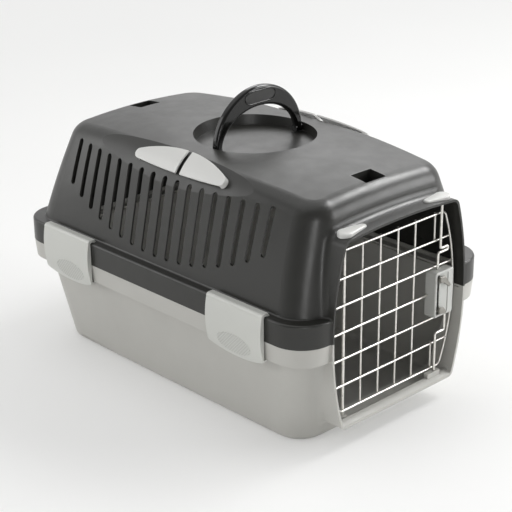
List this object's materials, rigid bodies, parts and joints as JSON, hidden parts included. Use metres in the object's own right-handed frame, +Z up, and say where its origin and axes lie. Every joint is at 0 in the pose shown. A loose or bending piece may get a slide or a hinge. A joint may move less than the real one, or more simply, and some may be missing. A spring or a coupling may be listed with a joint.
{
  "type": "pet carrier",
  "caption": "Two-shell pet carrier with vented hood, wire door with squeeze latch, side clips, folding carrying handle and belt guides",
  "frame": {"origin": "centre of the overall footprint, on the surface that the carrier stands on", "axes": "+Z up, the door faces -Y, +X to the right as seen from in front of the door"},
  "size_m": [0.3116, 0.483, 0.3381],
  "materials": {
    "hood_plastic": "warm dark grey, fine matte texture",
    "tub_plastic": "light warm grey, fine matte texture",
    "clip_plastic": "light grey, satin",
    "trim_plastic": "near white, smooth gloss",
    "handle_plastic": "near black, polished",
    "handle_inlay": "near black, matte grip pad",
    "anchor_plastic": "black, satin",
    "door_wire": "bright plated steel wire",
    "latch_plastic": "mid grey, satin",
    "tab_plastic": "light grey, satin",
    "spring_steel": "plain spring wire"
  },
  "bodies": {
    "body": {"bottom_shell": "tub_plastic", "top_shell": "hood_plastic", "belt_guide_front_left": "trim_plastic", "belt_guide_rear_left": "trim_plastic", "belt_guide_front_right": "trim_plastic", "belt_guide_rear_right": "trim_plastic", "pin_cap_left": "trim_plastic", "pin_cap_right": "trim_plastic", "strap_anchor_front": "anchor_plastic", "strap_anchor_rear": "anchor_plastic"},
    "clip_front_left": {"clip_front_left": "clip_plastic"},
    "clip_rear_left": {"clip_rear_left": "clip_plastic"},
    "clip_front_right": {"clip_front_right": "clip_plastic"},
    "clip_rear_right": {"clip_rear_right": "clip_plastic"},
    "handle": {"handle": "handle_plastic", "handle_inlay_front": "handle_inlay", "handle_inlay_rear": "handle_inlay"},
    "door": {"door_grille": "door_wire", "door_uprights": "door_wire", "hinge_rod": "door_wire", "latch_housing": "latch_plastic", "latch_back": "latch_plastic", "latch_spring": "spring_steel"},
    "upper_bolt": {"upper_bolt": "door_wire", "upper_tab": "tab_plastic"},
    "lower_bolt": {"lower_bolt": "door_wire", "lower_tab": "tab_plastic"}
  },
  "joints": [
    {"name": "door_hinge", "type": "hinge", "parent": "body", "child": "door", "pos_m": [-0.0743, -0.22312, 0.13], "axis": [0, 0, -1], "range_deg": [0, 105]},
    {"name": "upper_bolt_slide", "type": "slide", "parent": "door", "child": "upper_bolt", "axis": [0, 0, 1], "range_m": [-0.008, 0.0032], "stiffness_N_per_m": 300, "springref_m": 0.0032, "deforming": ["latch_spring"]},
    {"name": "lower_bolt_slide", "type": "slide", "parent": "door", "child": "lower_bolt", "axis": [0, 0, -1], "range_m": [-0.008, 0.0032]},
    {"name": "handle_fold", "type": "hinge", "parent": "body", "child": "handle", "pos_m": [0, -0.0205, 0.2751], "axis": [1, 0, 0], "range_deg": [-88, 88]},
    {"name": "clip_front_left_hinge", "type": "hinge", "parent": "body", "child": "clip_front_left", "pos_m": [-0.1442, -0.141, 0.156], "axis": [0, 1, 0], "range_deg": [0, 75]},
    {"name": "clip_rear_left_hinge", "type": "hinge", "parent": "body", "child": "clip_rear_left", "pos_m": [-0.1442, 0.145, 0.156], "axis": [0, 1, 0], "range_deg": [0, 75]},
    {"name": "clip_front_right_hinge", "type": "hinge", "parent": "body", "child": "clip_front_right", "pos_m": [0.1442, -0.141, 0.156], "axis": [0, -1, 0], "range_deg": [0, 75]},
    {"name": "clip_rear_right_hinge", "type": "hinge", "parent": "body", "child": "clip_rear_right", "pos_m": [0.1442, 0.145, 0.156], "axis": [0, -1, 0], "range_deg": [0, 75]}
  ],
  "couplings": [
    {"joint": "lower_bolt_slide", "follows": "upper_bolt_slide", "ratio": 1}
  ]
}
